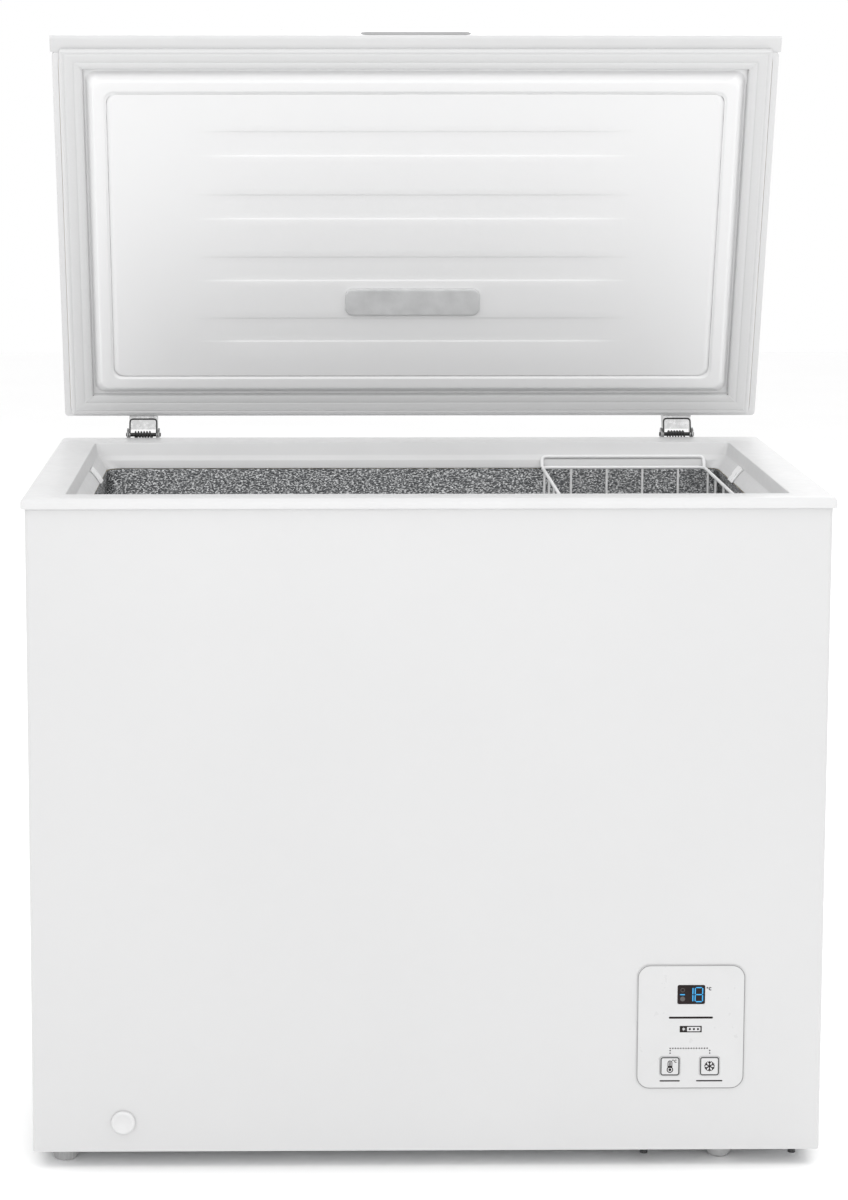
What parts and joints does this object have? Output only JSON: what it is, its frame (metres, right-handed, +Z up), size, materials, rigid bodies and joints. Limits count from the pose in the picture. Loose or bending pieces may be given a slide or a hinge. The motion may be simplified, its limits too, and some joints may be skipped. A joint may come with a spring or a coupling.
{
  "type": "chest freezer",
  "caption": "White chest freezer with a hinged lid held open, gasket, embossed metal tub, hanging basket, compressor step, front control panel, drain cap and feet.",
  "frame": {"origin": "on the floor, under the middle of the whole box with the lid open", "axes": "+X to the right as seen from the front, +Y from the front towards the back, +Z up"},
  "size_m": [0.905, 0.5738, 1.2932],
  "materials": {
    "cabinet_white": "satin",
    "frame_white": "satin",
    "lid_white": "satin",
    "liner_white": "satin",
    "embossed_aluminium": "satin",
    "seal_grey": "matte",
    "lamp_lens": "satin",
    "foam": "matte",
    "copper_tube": "satin",
    "galvanised_steel": "satin",
    "chrome": "polished",
    "black_steel": "satin",
    "black_plastic": "matte",
    "black_rubber": "matte",
    "coated_wire": "satin",
    "display": "gloss",
    "foot_grey": "matte",
    "circuit_board": "satin"
  },
  "bodies": {
    "cabinet": {"outer_shell": "cabinet_white", "rear_panel": "galvanised_steel", "base_panel": "galvanised_steel", "machine_compartment": "galvanised_steel", "upper_foam": "foam", "lower_foam": "foam", "liner_tub": "embossed_aluminium", "top_frame": "frame_white", "rim_clip_left": "frame_white", "rim_clip_right": "frame_white", "evaporator_coil": "copper_tube", "condenser_coil": "copper_tube", "compressor": "black_steel", "compressor_tray": "galvanised_steel", "tray_bolt_1": "black_steel", "tray_bolt_2": "black_steel", "compressor_grommet_1": "black_rubber", "compressor_grommet_2": "black_rubber", "compressor_grommet_3": "black_rubber", "compressor_grommet_4": "black_rubber", "start_relay_cover": "black_plastic", "discharge_pipe": "copper_tube", "suction_pipe": "copper_tube", "filter_drier": "copper_tube", "capillary_tube": "copper_tube", "side_vent_grille": "frame_white", "rear_service_cover": "galvanised_steel", "cord_gland": "black_plastic", "control_panel": "cabinet_white", "display_lens": "display", "control_board_box": "black_plastic", "drain_tube": "frame_white", "glide_foot_front": "foot_grey", "glide_foot_rear": "foot_grey", "hinge_base_left": "galvanised_steel", "hinge_base_right": "galvanised_steel", "hinge_left_screw_upper": "chrome", "hinge_left_screw_lower": "chrome", "hinge_right_screw_upper": "chrome", "hinge_right_screw_lower": "chrome", "hinge_pin_left": "chrome", "hinge_pin_right": "chrome", "hinge_spring_left": "galvanised_steel", "hinge_spring_right": "galvanised_steel"},
    "lid": {"lid_outer_shell": "lid_white", "lid_front_trim": "liner_white", "lid_foam": "foam", "lid_liner": "liner_white", "lid_gasket": "seal_grey", "lamp_lens": "lamp_lens", "lamp_board": "circuit_board", "hinge_arm_left": "chrome", "hinge_arm_right": "chrome"},
    "basket": {"basket": "coated_wire"},
    "temperature_button": {"temperature_button": "liner_white"},
    "super_freeze_button": {"super_freeze_button": "liner_white"},
    "drain_cap": {"drain_cap": "frame_white"},
    "drain_stopper": {"drain_stopper": "foot_grey"},
    "levelling_foot_front": {"levelling_foot_front": "foot_grey"},
    "levelling_foot_rear": {"levelling_foot_rear": "foot_grey"}
  },
  "joints": [
    {"name": "lid_hinge", "type": "hinge", "parent": "cabinet", "child": "lid", "pos_m": [0, 0.23511, 0.7735], "axis": [-1, 0, 0], "range_deg": [-74.6, 0], "stiffness_Nm_per_rad": 4, "springref_deg": 63.03},
    {"name": "basket_lift", "type": "slide", "parent": "cabinet", "child": "basket", "axis": [0, 0, 1], "range_m": [0, 0.19]},
    {"name": "temperature_button_press", "type": "slide", "parent": "cabinet", "child": "temperature_button", "axis": [0, 1, 0], "range_m": [0, 0.0008], "stiffness_N_per_m": 300},
    {"name": "super_freeze_button_press", "type": "slide", "parent": "cabinet", "child": "super_freeze_button", "axis": [0, 1, 0], "range_m": [0, 0.0008], "stiffness_N_per_m": 300},
    {"name": "drain_cap_pull", "type": "slide", "parent": "cabinet", "child": "drain_cap", "axis": [0, -1, 0], "range_m": [0, 0.03]},
    {"name": "drain_stopper_lift", "type": "slide", "parent": "cabinet", "child": "drain_stopper", "axis": [0, 0, 1], "range_m": [0, 0.05]},
    {"name": "levelling_foot_front_turn", "type": "hinge", "parent": "cabinet", "child": "levelling_foot_front", "pos_m": [-0.414, -0.24939, 0], "axis": [0, 0, 1], "continuous": true},
    {"name": "levelling_foot_rear_turn", "type": "hinge", "parent": "cabinet", "child": "levelling_foot_rear", "pos_m": [-0.414, 0.18261, 0], "axis": [0, 0, 1], "continuous": true}
  ]
}
